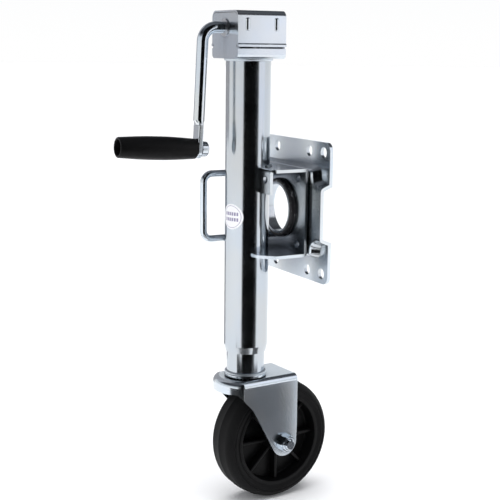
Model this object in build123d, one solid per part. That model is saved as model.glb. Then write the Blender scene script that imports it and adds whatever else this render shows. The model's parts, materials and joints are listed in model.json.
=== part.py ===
from build123d import *
import os
from math import asin, atan2, cos, hypot, pi, radians, sin, sqrt, tan

# Swivel-mount trailer tongue jack, in millimetres. +Z is up along the jack tube, +Y points from the
# tube to the trailer frame, and the origin is the centre of the mounting plate's back face, on the
# axis that the jack swivels about. The leg is fully retracted and the lock pins are drawn back.

# Clearances
running_fit = 0.06          # radial, between a shaft and its bore
press_fit = 0.02            # radial, between pieces pressed together
side_gap = 0.4              # endways, between pieces that turn on each other
weld_fit = 0.05             # round a tube where a plate is welded to it
past = 1.0                  # how far a cutter runs past what it cuts

# Mounting plate
plate_half = 80.0           # half the side of the square plate
plate_thickness = 4.0
plate_corner = 10.0
raise_height = 11.0         # how far the middle stands out from the flanges
raise_draft = 22.0          # degrees
raise_half_x = 64.0
raise_half_z = 53.0
channel_half_z = 34.0       # the raised channel that runs out to both side edges
raise_corner = 9.0
bend_radius = 3.0
bolt_inner_x = 36.0
bolt_outer_x = 66.5
bolt_z = 68.5
bolt_hole_radius = 6.25
swivel_outer = 30.0         # the drawn collar that the jack swivels on
collar_wall = 2.5
entry_radius = 3.0
retainer_width = 3.8
retainer_length = 4.4
retainer_round = 2.0
hub_washer_thickness = 1.2
hub_washer_width = 4.4
swivel_washer_thickness = 0.8
swivel_washer_radius = 42.0
washer_gap = 0.1

# Swivel bracket
bracket_thickness = 3.5
bracket_half_x = 55.0
bracket_half_z = 50.0
tube_reach = 44.5           # from the bracket's web to the tube axis
lip_reach = 4.0             # from the middle of the guide lips to the tube axis
lip_bottom = 22.0
lip_outer_x = 49.0
lip_bend = 4.5
tail_reach = 8.0            # how far the lower flange passes the tube axis
tail_corner = 16.0
lock_spacing = 38.1         # each lock hole from the swivel axis, both ways

# Lock handle
pin_radius = 4.0
pin_clearance = 0.6
handle_bar_reach = 36.7     # from the tube axis to the middle of the handle's bar
handle_bend = 10.0
pin_setback = 0.5           # from the drawn pin tips to the plate's face
collar_thickness = 2.0
collar_radius = 7.0
lock_travel = 9.0           # from the drawn place to the locked place
collar_stop_gap = 1.5       # left between the locked collar and the bracket's web
spring_wire = 0.7
spring_coil_radius = 5.6
spring_turns = 9
spring_end_gap = 0.3

# Outer tube and leg
tube_outer = 25.4
tube_wall = 2.4
tube_top = 170.0
tube_bottom = -166.0
crimp_length = 8.0
crimp_outer = 23.6
leg_outer = 22.225
leg_wall = 2.0
leg_drop = 20.0             # from the tube's top to the retracted leg's top
leg_stand = 26.0            # how far the retracted leg stands out of the tube
nut_length = 20.0
screw_radius = 8.0
screw_length = 275.0        # below the lift nut's top
screw_collar_radius = 13.0
screw_collar_thickness = 4.0
bearing_plate_thickness = 4.0
race_thickness = 1.5
race_inner = 8.6
race_outer = 15.5
thrust_ball_radius = 2.0
thrust_ball_count = 14
thrust_ring_radius = 12.0
screw_hole_gap = 0.4
screw_top_gap = 1.2         # from the lift screw to the crank shaft above it
screw_chamfer = 1.0
label_radius = 14.5
label_thickness = 0.15
label_direction = -72.0     # degrees from +X, round the tube
label_height = -6.0
plug_radius = 2.6
plug_from_top = 5.0         # from the grease hole to the tube's top
plug_direction = -16.0
plug_stand = 0.8
plug_flange = 1.0
plug_bore = 1.3

# Gear housing
frame_half_x = 29.0
frame_half_y = 30.0
frame_thickness = 3.0
ear_height = 49.5           # from the tube's top
ear_corner = 6.0
pan_height = 11.0
pan_half_x = 31.0
pan_round = 5.0
notch_radius = 1.3
notch_rise = 14.0           # from the tube's top
cover_thickness = 2.0
cover_rise = 13.0           # from the tube's top to the cover's lower edge
cover_height = 39.0
cover_bend = 8.0
cover_lip = 1.4
cover_lip_height = 2.4
cover_rib_y = 18.0
cover_rib_length = 14.0
cover_rib_radius = 2.9
cover_rib_proud = 1.7

# Crank and gears
shaft_rise = 33.6           # from the tube's top to the crank shaft's axis
shaft_radius = 6.35
bushing_sleeve = 8.2
bushing_flange = 9.6
bushing_flange_thickness = 1.5
shaft_end = 36.0            # from the tube axis to the shaft's far end
shaft_chamfer = 1.0
clip_thickness = 1.4
clip_radius = 10.0
arm_corner = 56.5           # from the tube axis to the corner of the bent crank
arm_bend = 16.0
arm_lean = 2.8              # degrees
arm_length = 132.5          # from the shaft axis to the grip axis
paddle_start = 101.0
paddle_taper = 5.0
paddle_width = 15.5
paddle_thickness = 6.0
paddle_end = 10.5
paddle_round = 1.4
gear_module = 1.5
pinion_teeth = 16
gear_teeth = 24
gear_face_share = 0.3       # of the cone distance
pressure_angle = 20.0
tooth_share = 0.42          # tooth thickness as a share of the tooth pitch
addendum = 0.8              # of the module
dedendum = 1.15             # of the module
hub_radius = 10.5           # of the gear on the crank shaft
screw_hub_radius = 12.5     # of the gear on the lift screw
pinion_hub_length = 6.0
gear_washer_thickness = 1.6
cross_pin_radius = 1.6

# Hand grip
spindle_radius = 5.0
spindle_head_radius = 8.5
spindle_head_length = 8.0
spindle_end_radius = 7.0
spindle_end_length = 2.0
grip_length = 92.0
grip_end_radius = 11.2
grip_mid_radius = 13.0
grip_recess_radius = 8.6
grip_recess_depth = 12.0
grip_round = 1.6

# Castor
castor_turn = 4.5           # degrees, how far the castor stands turned about the leg
castor_trail = 36.4
axle_drop = 85.7            # from the leg's bottom to the axle
wheel_radius = 73.0
wheel_half_width = 22.0
tyre_inner = 56.0
tyre_round = 6.0
rim_width = 5.0
rim_step = 1.2
wheel_web = 7.0
wheel_hub_radius = 15.0
wheel_ribs_count = 8
rib_thickness = 4.0
rib_setback = 7.0
yoke_thickness = 3.2
yoke_half_width = 31.0
yoke_front_radius = 38.0
yoke_side_blend = 8.0
yoke_bend = 7.0
yoke_back = 54.0
yoke_skirt = 19.5           # from the leg's bottom to the skirt's lower edge
yoke_skirt_end = -27.0      # where the skirt's lower edge turns down along the arm
yoke_arm_front = -8.0
yoke_waist = 40.0           # from the leg's bottom to where the arm's front edge slopes back
yoke_end_radius = 17.0
king_plate_thickness = 3.0
king_plate_radius = 24.6
king_pin_radius = 7.0
king_nut_radius = 11.0
king_nut_length = 4.6
king_pin_end = 0.6          # how far the king pin stands past its nut
castor_ball_radius = 1.6
castor_ball_count = 20
castor_ring_radius = 16.0
castor_gap = 1.5            # between the king plate and the yoke
axle_radius = 6.0
axle_hex = 18.0             # across flats
axle_head_length = 7.0
hex_chamfer = 1.2
axle_nut_length = 6.5       # the hexagon alone
nut_collar_length = 2.5     # the round end that holds the nut's locking ring
nut_collar_radius = 8.2
axle_washer_radius = 11.5
axle_washer_thickness = 1.5
axle_end = 2.6              # how far the bolt stands past its nut
axle_chamfer = 0.8
wheel_bush_radius = 8.0

# Places that follow from the sizes above
plate_mid_back = -raise_height
plate_mid_front = plate_mid_back - plate_thickness
web_back = plate_mid_front - swivel_washer_thickness - 2 * washer_gap
web_front = web_back - bracket_thickness
tube_y = web_front - tube_reach
hub_washer_back = web_front - washer_gap
hub_washer_front = hub_washer_back - hub_washer_thickness
retainer_back = hub_washer_front - washer_gap
retainer_front = retainer_back - retainer_length
pin_tip = plate_mid_front - pin_setback
collar_back = web_front - lock_travel - collar_stop_gap
collar_front = collar_back - collar_thickness
tube_inner = tube_outer - tube_wall
plug_height = tube_top - plug_from_top
ear_top = tube_top + ear_height
notch_height = tube_top + notch_rise
cover_bottom = tube_top + cover_rise
cover_top = cover_bottom + cover_height
shaft_height = tube_top + shaft_rise
leg_top = tube_top - leg_drop
leg_bottom = tube_bottom - leg_stand
screw_bottom = leg_top - screw_length
axle_height = leg_bottom - axle_drop
yoke_skirt_bottom = leg_bottom - yoke_skirt
yoke_arm_waist = leg_bottom - yoke_waist
leg_inner = leg_outer - leg_wall
bearing_plate_bottom = tube_top - bearing_plate_thickness
upper_race_bottom = bearing_plate_bottom - race_thickness
ball_top = upper_race_bottom
lower_race_top = ball_top - 2 * thrust_ball_radius
screw_collar_top = lower_race_top - race_thickness
pan_top = tube_top + frame_thickness
pinion_pitch = gear_module * pinion_teeth / 2
gear_pitch = gear_module * gear_teeth / 2
gear_large_end = shaft_height - pinion_pitch
gear_washer_top = pan_top + gear_washer_thickness
yoke_top = leg_bottom - king_plate_thickness - castor_gap
king_plate_bottom = leg_bottom - king_plate_thickness
yoke_inside = yoke_top - yoke_thickness
arm_inside = yoke_half_width - yoke_thickness
wheel_hub_half = arm_inside - side_gap


def box(x0, x1, y0, y1, z0, z1):
    """A box between two corners."""
    size = (x1 - x0, y1 - y0, z1 - z0)
    return Pos((x0 + x1) / 2, (y0 + y1) / 2, (z0 + z1) / 2) * Box(*size)


def upright(radius, z0, z1, x=0.0, y=tube_y):
    """A cylinder along Z, on the tube axis unless it is told otherwise."""
    return Pos(x, y, (z0 + z1) / 2) * Cylinder(radius, z1 - z0)


def level(radius, y0, y1, x=0.0, z=0.0):
    """A cylinder along Y."""
    return Pos(x, (y0 + y1) / 2, z) * Rot(90, 0, 0) * Cylinder(radius, y1 - y0)


def crossways(radius, x0, x1, y=0.0, z=0.0):
    """A cylinder along X."""
    return Pos((x0 + x1) / 2, y, z) * Rot(0, 90, 0) * Cylinder(radius, x1 - x0)


def ring_up(outer, inner, z0, z1):
    """A plain ring round the tube axis."""
    return upright(outer, z0, z1) - upright(inner, z0 - past, z1 + past)


def ring_level(outer, inner, y0, y1, x=0.0, z=0.0):
    """A plain ring round an axis along Y."""
    return level(outer, y0, y1, x, z) - level(inner, y0 - past, y1 + past, x, z)


def edges_at(shape, axis, place):
    """The edges that lie wholly in one plane across an axis."""
    pick = {"x": lambda p: p.X, "y": lambda p: p.Y, "z": lambda p: p.Z}[axis]
    spots = (0, 0.3, 0.5, 1)
    return [e for e in shape.edges() if all(abs(pick(e.position_at(s)) - place) < 1e-3 for s in spots)]


def ball_ring(radius, ball, count, z, y=tube_y):
    """Separate balls, evenly spaced on a circle round an axis along Z."""
    balls = []
    for i in range(count):
        angle = 2 * pi * i / count
        balls.append(Pos(radius * cos(angle), y + radius * sin(angle), z) * Sphere(ball))
    return Compound(balls)


# ---- Mounting plate and what the jack swivels on ----

def raised_outline(grow=0.0):
    """The stamped middle's outline: a block with a channel that runs past both side edges."""
    block = Rectangle(2 * raise_half_x, 2 * raise_half_z)
    channel = Rectangle(4 * plate_half, 2 * channel_half_z)
    outline = block + channel
    corners = [v for v in outline.vertices() if abs(v.X) < plate_half]
    outline = fillet(corners, raise_corner)
    return offset(outline, grow) if grow else outline


def mounting_plate():
    slope = tan(radians(raise_draft))
    inset = plate_thickness / cos(radians(raise_draft)) - plate_thickness * slope
    slab = box(-2 * plate_half, 2 * plate_half, -plate_thickness, 0, -2 * plate_half, 2 * plate_half)
    outside = extrude(Plane.XZ.offset(plate_thickness) * raised_outline(), raise_height, taper=raise_draft)
    inside = extrude(Plane.XZ * raised_outline(-inset), raise_height, taper=raise_draft)
    outside = fillet(edges_at(outside, "y", plate_mid_front), bend_radius + plate_thickness / 2)
    inside = fillet(edges_at(inside, "y", plate_mid_back), bend_radius / 2)
    outline = RectangleRounded(2 * plate_half, 2 * plate_half, plate_corner)
    square = extrude(Plane.XZ * outline, 2 * raise_height)
    plate = ((slab + outside) - inside) & square
    collar = level(swivel_outer, retainer_front, plate_mid_back)
    bore = level(swivel_outer - collar_wall, retainer_front - past, past)
    plate = plate + collar - bore
    plate = fillet([e for e in edges_at(plate, "y", plate_mid_back) if e.geom_type == GeomType.CIRCLE
                    and abs(e.radius - swivel_outer + collar_wall) < 0.01], entry_radius)
    for x in (-bolt_outer_x, -bolt_inner_x, bolt_inner_x, bolt_outer_x):
        for z in (-bolt_z, bolt_z):
            plate -= level(bolt_hole_radius, -plate_thickness - past, past, x, z)
    return plate - lock_holes(plate_mid_front - past, plate_mid_back + past)


def lock_holes(y0, y1, sides=(-1, 1), heights=(-1, 1)):
    """Cutters for the holes that the lock pins pass through."""
    radius = pin_radius + pin_clearance
    places = [(i * lock_spacing, k * lock_spacing) for i in sides for k in heights]
    return Compound([level(radius, y0, y1, x, z) for x, z in places])


def hub_retainer():
    outer = swivel_outer + retainer_width
    ring = level(outer, retainer_front, retainer_back)
    ring = fillet(edges_at(ring, "y", retainer_front), retainer_round)
    return ring - level(swivel_outer + press_fit, retainer_front - past, retainer_back + past)


def hub_washer():
    inner = swivel_outer + running_fit
    return ring_level(inner + hub_washer_width, inner, hub_washer_front, hub_washer_back)


def swivel_washer():
    y0 = web_back + washer_gap
    return ring_level(swivel_washer_radius, swivel_outer + running_fit, y0, y0 + swivel_washer_thickness)


# ---- Swivel bracket, tube and label ----

def swivel_bracket():
    hx, hz, t = bracket_half_x, bracket_half_z, bracket_thickness
    lip_front = tube_y + lip_reach - t / 2
    tail = tube_y - tail_reach
    top = box(-hx, hx, lip_front, web_back, hz - t, hz)
    bottom = box(-hx, hx, tail, web_back, -hz, t - hz)
    bracket = box(-hx, hx, web_front, web_back, -hz, hz) + top + bottom
    for side in (-1, 1):
        inner, outer = sorted((side * tube_outer * 0.5, side * lip_outer_x))
        bracket += box(inner, outer, lip_front, lip_front + t, lip_bottom, hz)
        relief = sorted((side * lip_outer_x, side * (hx + past)))
        bracket -= box(*relief, lip_front - past, lip_front + lip_bend, hz - t - past, hz + past)
    bends = [e for e in bracket.edges().filter_by(Axis.X) if abs(abs(e.center().Z) - hz) < 0.01
             and e.center().Y > web_front]
    bracket = fillet(bends, bend_radius + t / 2)
    tails = [e for e in bracket.edges().filter_by(Axis.Z) if abs(e.center().Y - tail) < 0.01]
    bracket = chamfer(tails, tail_corner)
    notch = upright(tube_outer + weld_fit, -hz - past, hz + past)
    slot = box(-tube_outer - weld_fit, tube_outer + weld_fit, tail - past, tube_y, -hz - past, t - hz + past)
    window = box(-tube_outer - weld_fit, tube_outer + weld_fit, lip_front - past, tube_y + lip_reach + t,
                 lip_bottom - past, hz + past)
    bracket = bracket - notch - slot - window
    lip_bends = [e for e in bracket.edges().filter_by(Axis.X) if abs(e.center().Z - hz) < 0.01
                 and abs(e.center().Y - lip_front) < 0.01]
    bracket = fillet(lip_bends, lip_bend)
    bracket -= level(swivel_outer + running_fit, web_front - past, web_back + past)
    bracket -= lock_holes(web_front - past, web_back + past)
    return bracket - lock_holes(lip_front - past, lip_front + t + past, heights=(1,))


def outer_tube():
    with BuildPart() as tube:
        with BuildSketch(Plane.XZ.offset(-tube_y)):
            with BuildLine():
                Polyline((tube_inner, tube_top), (tube_outer, tube_top),
                         (tube_outer, tube_bottom + crimp_length), (crimp_outer, tube_bottom),
                         (leg_outer + running_fit, tube_bottom),
                         (leg_outer + running_fit, tube_bottom + crimp_length / 2),
                         (tube_inner, tube_bottom + crimp_length), close=True)
            make_face()
        revolve(axis=Axis((0, tube_y, 0), (0, 0, 1)))
    hole = radial_cylinder(plug_radius, plug_direction, plug_height, tube_outer + past)
    return tube.part - hole


def radial_cylinder(radius, direction, z, reach):
    """A cylinder that runs out from the tube axis in one compass direction."""
    rod = Pos(reach / 2, 0, 0) * Rot(0, 90, 0) * Cylinder(radius, reach)
    return Pos(0, tube_y, z) * Rot(0, 0, direction) * rod


def round_label():
    reach = label_radius + past
    skin = ring_up(tube_outer + label_thickness, tube_outer, label_height - reach, label_height + reach)
    return skin & radial_cylinder(label_radius, label_direction, label_height, 2 * tube_outer)


def grease_plug():
    """A flanged eyelet in the grease hole near the top of the tube."""
    body = radial_cylinder(plug_radius - press_fit, plug_direction, plug_height, tube_outer + plug_stand)
    flange = radial_cylinder(plug_radius + plug_flange, plug_direction, plug_height, tube_outer + plug_stand)
    reach = plug_radius + plug_flange + past
    flange -= upright(tube_outer, plug_height - reach, plug_height + reach)
    body -= upright(tube_inner, plug_height - reach, plug_height + reach)
    bore = radial_cylinder(plug_bore, plug_direction, plug_height, tube_outer + 2 * past)
    return body + flange - bore


# ---- Gear housing ----

def gear_frame():
    hx, hy, t = frame_half_x, frame_half_y, frame_thickness
    pan = box(-pan_half_x, pan_half_x, tube_y - hy, tube_y + hy, tube_top, tube_top + pan_height)
    low = [e for e in pan.edges().filter_by(Axis.Y) if e.center().Z < tube_top + 1]
    pan = fillet(low, pan_round)
    hollow = box(-pan_half_x + t, pan_half_x - t, tube_y - hy - past, tube_y + hy + past, pan_top,
                 tube_top + pan_height + past)
    low = [e for e in hollow.edges().filter_by(Axis.Y) if e.center().Z < pan_top + 1]
    frame = pan - fillet(low, pan_round - t)
    for side in (-1, 1):
        y0, y1 = sorted((tube_y + side * hy, tube_y + side * (hy - t)))
        ear = box(-hx, hx, y0, y1, tube_top, ear_top)
        ear = fillet(ear.edges().filter_by(Axis.Y), ear_corner)
        for x in (-hx, hx):
            ear -= level(notch_radius, y0 - past, y1 + past, x, notch_height)
        frame += ear
    frame -= level(bushing_sleeve + press_fit, tube_y - hy - past, tube_y + hy + past, 0, shaft_height)
    return frame - upright(screw_radius + screw_hole_gap, tube_top - past, pan_top + past)


def gear_cover():
    hx, hy, t = frame_half_x + cover_thickness, frame_half_y, cover_thickness
    shell = box(-hx, hx, tube_y - hy, tube_y + hy, cover_bottom, cover_top)
    bends = [e for e in shell.edges().filter_by(Axis.Y) if e.center().Z > shaft_height]
    shell = fillet(bends, cover_bend)
    hollow = box(-hx + t, hx - t, tube_y - hy - past, tube_y + hy + past, cover_bottom - past, cover_top - t)
    bends = [e for e in hollow.edges().filter_by(Axis.Y) if e.center().Z > shaft_height]
    hollow = fillet(bends, cover_bend - t)
    cover = shell - hollow
    for side in (-1, 1):
        lip = Polygon((0, 0), (cover_lip, 0), (cover_lip, cover_lip_height),
                      (0, cover_lip_height + cover_lip), align=None)
        flare = extrude(Plane((side * hx, tube_y + side * hy, cover_bottom), x_dir=(side, 0, 0),
                              z_dir=(0, -side, 0)) * lip, 2 * hy)
        cover += flare
        for y in (-cover_rib_y, cover_rib_y):
            bar = Pos(side * (hx - cover_rib_radius + cover_rib_proud), tube_y + y, cover_top - cover_bend
                      - cover_rib_length / 2) * Cylinder(cover_rib_radius, cover_rib_length)
            bar = fillet(bar.edges(), cover_rib_proud)
            inside = sorted((0, side * (hx - t)))
            cover += bar - box(*inside, tube_y - hy, tube_y + hy, cover_bottom, cover_top)
    return cover


def crank_bushings():
    pieces = []
    for side in (-1, 1):
        outside = tube_y + side * frame_half_y
        inside = outside - side * frame_thickness
        tip = outside + side * bushing_flange_thickness
        y0, y1 = sorted((inside, tip))
        f0, f1 = sorted((outside, tip))
        sleeve = level(bushing_sleeve, y0, y1, 0, shaft_height)
        sleeve += level(bushing_flange, f0, f1, 0, shaft_height)
        pieces.append(sleeve - level(shaft_radius + running_fit, y0 - past, y1 + past, 0, shaft_height))
    return Compound(pieces)


def bearing_plate():
    return ring_up(tube_inner - press_fit, screw_radius + screw_hole_gap, bearing_plate_bottom, tube_top)


def thrust_races():
    upper = ring_up(race_outer, race_inner, upper_race_bottom, bearing_plate_bottom)
    lower = ring_up(race_outer, race_inner, screw_collar_top, lower_race_top)
    return Compound([upper, lower])


def thrust_balls():
    return ball_ring(thrust_ring_radius, thrust_ball_radius, thrust_ball_count, ball_top - thrust_ball_radius)


# ---- Lock handle ----

def lock_handle():
    """A D-shaped bar whose two legs run along Y and end in the lock pins."""
    bar = tube_y - handle_bar_reach
    x = -lock_spacing
    route = FilletPolyline((x, pin_tip, lock_spacing), (x, bar, lock_spacing), (x, bar, -lock_spacing),
                           (x, pin_tip, -lock_spacing), radius=handle_bend)
    rod = sweep(Plane(route @ 0, z_dir=route % 0) * Circle(pin_radius), path=route)
    return chamfer(edges_at(rod, "y", pin_tip), pin_radius / 4)


def lock_collar():
    """The stop ring on the upper leg that the spring pushes against."""
    bore = pin_radius + press_fit
    return ring_level(collar_radius, bore, collar_front, collar_back, -lock_spacing, lock_spacing)


def lock_spring():
    """A coil round the upper leg, between the guide lip and the stop ring."""
    start = tube_y + lip_reach + bracket_thickness / 2 + spring_end_gap + spring_wire
    end = collar_front - spring_end_gap - spring_wire
    coil = Helix((end - start) / spring_turns, end - start, spring_coil_radius)
    wire = sweep(Plane(coil @ 0, z_dir=coil % 0) * Circle(spring_wire), path=coil)
    return Pos(-lock_spacing, start, lock_spacing) * Rot(-90, 0, 0) * wire


# ---- Crank, gears and grip ----

def gear_outline(teeth, pitch, height):
    """A bevel gear's outline in the plane across its axis through the large end of its pitch cone."""
    cone = atan2(pitch, height)
    half = tooth_share * pi * gear_module / 2
    curve = pitch / cos(cone) * sin(radians(pressure_angle))
    points = []
    for i in range(teeth):
        middle = 2 * pi * i / teeth
        for side, levels in ((-1, (-dedendum, 0.0, addendum)), (1, (addendum, 0.0, -dedendum))):
            for step in levels:
                rise = step * gear_module
                width = half - rise * tan(radians(pressure_angle)) - rise ** 2 / (2 * curve)
                stretch = height / (height - rise * sin(cone))
                radius = (pitch + rise * cos(cone)) * stretch
                turn = middle + side * width * stretch / radius
                points.append((radius * cos(turn), radius * sin(turn)))
    return Polygon(*points, align=None)


def bevel_gear(teeth, pitch, height):
    """Teeth that run to the apex at the origin, with the large end at Z = -height."""
    small = 1 - gear_face_share
    outline = gear_outline(teeth, pitch, height)
    return loft([Pos(0, 0, -height) * outline, Pos(0, 0, -height * small) * scale(outline, by=small)])


def crank_pinion():
    """The gear on the crank shaft. Its gap, not a tooth, faces the screw gear."""
    half_tooth = 180 / pinion_teeth
    teeth = bevel_gear(pinion_teeth, pinion_pitch, gear_pitch)
    hub = Pos(0, 0, -gear_pitch - pinion_hub_length / 2) * Cylinder(hub_radius, pinion_hub_length)
    blank = teeth + hub - Cylinder(shaft_radius + press_fit, 4 * gear_pitch)
    turned = Pos(0, tube_y, shaft_height) * Rot(-90, 0, 0) * Rot(0, 0, 90 + half_tooth) * blank
    return turned - pinion_pin_cutter(press_fit)


def pinion_pin_cutter(grow=0.0):
    y = tube_y - gear_pitch - pinion_hub_length / 2
    reach = hub_radius + past
    return upright(cross_pin_radius + grow, shaft_height - reach, shaft_height + reach, 0, y)


def pinion_pin():
    return pinion_pin_cutter() & level(hub_radius, tube_y - 2 * gear_pitch, tube_y, 0, shaft_height)


def screw_gear():
    """The gear on the lift screw, with a tooth that faces the pinion."""
    teeth = bevel_gear(gear_teeth, gear_pitch, pinion_pitch)
    hub_bottom = gear_washer_top - shaft_height
    hub = Pos(0, 0, (hub_bottom - pinion_pitch) / 2) * Cylinder(screw_hub_radius, -pinion_pitch - hub_bottom)
    blank = teeth + hub - Cylinder(screw_radius + press_fit, 4 * gear_pitch)
    placed = Pos(0, tube_y, shaft_height) * Rot(0, 0, -90) * blank
    return placed - gear_pin_cutter(press_fit)


def gear_pin_cutter(grow=0.0):
    z = (gear_washer_top + gear_large_end) / 2
    reach = screw_hub_radius + past
    return crossways(cross_pin_radius + grow, -reach, reach, tube_y, z)


def gear_pin():
    return gear_pin_cutter() & upright(screw_hub_radius, gear_washer_top, gear_large_end)


def gear_washer():
    return ring_up(screw_hub_radius, screw_radius + press_fit, pan_top, gear_washer_top - press_fit)


def lift_screw():
    """A plain rod stands for the thread."""
    top = shaft_height - shaft_radius - screw_top_gap
    screw = upright(screw_radius, screw_bottom, top)
    screw = chamfer(screw.edges(), screw_chamfer)
    screw += upright(screw_collar_radius, screw_collar_top - screw_collar_thickness, screw_collar_top)
    return screw - gear_pin_cutter(press_fit)


def lean(shape):
    """Turns what hangs from the bent corner of the crank by the arm's lean."""
    return Pos(0, tube_y - arm_corner, shaft_height) * Rot(-arm_lean, 0, 0) * shape


def crank_arm():
    """Made with the corner at the origin: the shaft runs to +Y, and the arm hangs down."""
    slope = radians(arm_lean)
    rod_end = (0, -paddle_start * sin(slope), -paddle_start * cos(slope))
    route = FilletPolyline((0, arm_corner + shaft_end, 0), (0, 0, 0), rod_end, radius=arm_bend)
    rod = sweep(Plane(route @ 0, z_dir=route % 0) * Circle(shaft_radius), path=route)
    rod = chamfer(edges_at(rod, "y", arm_corner + shaft_end), shaft_chamfer)
    rod = Pos(0, tube_y - arm_corner, shaft_height) * rod
    flat_top = -paddle_start - paddle_taper
    end_centre = paddle_width / 2 - arm_length - paddle_end
    outline = Pos(0, (flat_top + end_centre) / 2) * Rectangle(paddle_width, flat_top - end_centre)
    outline += Pos(0, end_centre) * Circle(paddle_width / 2)
    flat = extrude(Plane.XZ * outline, paddle_thickness / 2, both=True)
    rims = edges_at(flat, "y", paddle_thickness / 2) + edges_at(flat, "y", -paddle_thickness / 2)
    flat = fillet(rims, paddle_round)
    section = RectangleRounded(paddle_width, paddle_thickness, paddle_round)
    neck = loft([Pos(0, 0, -paddle_start) * Circle(shaft_radius), Pos(0, 0, flat_top) * section])
    bore = level(spindle_radius + press_fit, -paddle_thickness, paddle_thickness, 0, -arm_length)
    arm = rod + lean(neck + flat - bore)
    return arm - pinion_pin_cutter(press_fit)


def shaft_clip():
    y0 = tube_y + frame_half_y + bushing_flange_thickness + side_gap
    return ring_level(clip_radius, shaft_radius + press_fit, y0, y0 + clip_thickness, 0, shaft_height)


def grip_spindle():
    """A rivet through the paddle, whose upset end holds the grip in its recess."""
    face = paddle_thickness / 2
    recess = -face - side_gap - grip_length + grip_recess_depth
    head = level(spindle_head_radius, face, face + spindle_head_length, 0, -arm_length)
    head = fillet(edges_at(head, "y", face + spindle_head_length), spindle_head_length / 4)
    tip = recess - side_gap
    upset = level(spindle_end_radius, tip - spindle_end_length, tip, 0, -arm_length)
    upset = fillet(edges_at(upset, "y", tip - spindle_end_length), spindle_end_length / 2)
    return lean(head + level(spindle_radius, tip, face, 0, -arm_length) + upset)


def hand_grip():
    inner_end = paddle_thickness / 2 + side_gap
    outer_end = inner_end + grip_length
    with BuildPart() as grip:
        with BuildSketch(Plane.YZ):
            with BuildLine():
                Line((-inner_end, 0), (-inner_end, grip_end_radius))
                ThreePointArc((-inner_end, grip_end_radius), (-(inner_end + outer_end) / 2, grip_mid_radius),
                              (-outer_end, grip_end_radius))
                Line((-outer_end, grip_end_radius), (-outer_end, 0))
                Line((-outer_end, 0), (-inner_end, 0))
            make_face()
        revolve(axis=Axis.Y)
        fillet(grip.edges().filter_by(GeomType.CIRCLE), grip_round)
    bored = grip.part - level(spindle_radius + running_fit, -outer_end - past, 0)
    bored -= level(grip_recess_radius, -outer_end - past, -outer_end + grip_recess_depth)
    return lean(Pos(0, 0, -arm_length) * bored)


# ---- Leg ----

def inner_tube():
    return ring_up(leg_outer, leg_inner, leg_bottom, leg_top)


def lift_nut():
    return ring_up(leg_inner - press_fit, screw_radius + running_fit, leg_top - nut_length, leg_top)


def king_pin():
    """The leg's foot plate, with the pin that the castor turns on."""
    plate = upright(king_plate_radius, king_plate_bottom, leg_bottom)
    plate = fillet(edges_at(plate, "z", leg_bottom), king_plate_thickness / 3)
    spigot = upright(leg_inner - press_fit, leg_bottom, leg_bottom + king_plate_thickness)
    pin = upright(king_pin_radius, yoke_inside - side_gap - king_nut_length - king_pin_end, king_plate_bottom)
    return plate + spigot + pin - ball_groove()


def ball_groove():
    """The ball track that is cut into both faces of the castor bearing."""
    z = king_plate_bottom - castor_gap / 2
    track = Torus(castor_ring_radius, castor_ball_radius + running_fit / 2)
    return Pos(0, tube_y, z) * track


def king_nut():
    top = yoke_inside - side_gap
    nut = upright(king_nut_radius, top - king_nut_length, top)
    nut = chamfer(edges_at(nut, "z", top - king_nut_length), king_nut_length / 4)
    return nut - upright(king_pin_radius + press_fit, top - king_nut_length - past, top + past)


def castor_balls():
    z = king_plate_bottom - castor_gap / 2
    return ball_ring(castor_ring_radius, castor_ball_radius, castor_ball_count, z)


# ---- Castor: built with X along the axle and +Y along the trail, then turned about the leg ----

def on_castor(shape):
    return Pos(0, tube_y, 0) * Rot(0, 0, castor_turn) * shape


def tangent_point(x, z):
    """Where the line from a point touches the rounded end of the castor's arm."""
    run, drop = castor_trail - x, axle_height - z
    reach = hypot(run, drop)
    turn = atan2(drop, run) - asin(yoke_end_radius / reach)
    length = sqrt(reach ** 2 - yoke_end_radius ** 2)
    return x + length * cos(turn), z + length * sin(turn)


def castor_yoke():
    low = axle_height - 2 * yoke_end_radius
    disc = Circle(yoke_front_radius) & Rectangle(2 * yoke_half_width, 4 * yoke_front_radius)
    back = Pos(0, yoke_back) * Rectangle(2 * yoke_half_width, 2 * yoke_back)
    plan = disc + back
    blends = [v for v in plan.vertices() if -yoke_front_radius < v.Y < -1]
    plan = fillet(blends, yoke_side_blend)
    outside = extrude(Pos(0, 0, yoke_top) * plan, low - yoke_top)
    outside = fillet(edges_at(outside, "z", yoke_top), yoke_bend)
    inside = extrude(Pos(0, 0, yoke_inside) * offset(plan, -yoke_thickness), low - yoke_inside - past)
    inside = fillet(edges_at(inside, "z", yoke_inside), yoke_bend - yoke_thickness)
    shell = outside - inside
    touch = tangent_point(yoke_arm_front, yoke_arm_waist)
    side = Polygon((-2 * yoke_front_radius, yoke_top + past), (-2 * yoke_front_radius, yoke_skirt_bottom),
                   (yoke_skirt_end, yoke_skirt_bottom), (yoke_arm_front, yoke_arm_waist), touch,
                   (castor_trail, axle_height), (castor_trail + yoke_end_radius, axle_height),
                   (yoke_back, axle_height + yoke_end_radius), (yoke_back, yoke_top + past), align=None)
    side += Pos(castor_trail, axle_height) * Circle(yoke_end_radius)
    keep = extrude(Plane.YZ * side, 2 * yoke_half_width, both=True)
    body = shell & keep
    body -= on_axle(axle_radius + press_fit, -2 * yoke_half_width, 2 * yoke_half_width)
    body = on_castor(body)
    body -= upright(king_pin_radius + running_fit, yoke_inside - past, yoke_top + past)
    return body - ball_groove()


def on_axle(radius, x0, x1):
    return crossways(radius, x0, x1, castor_trail, axle_height)


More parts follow.
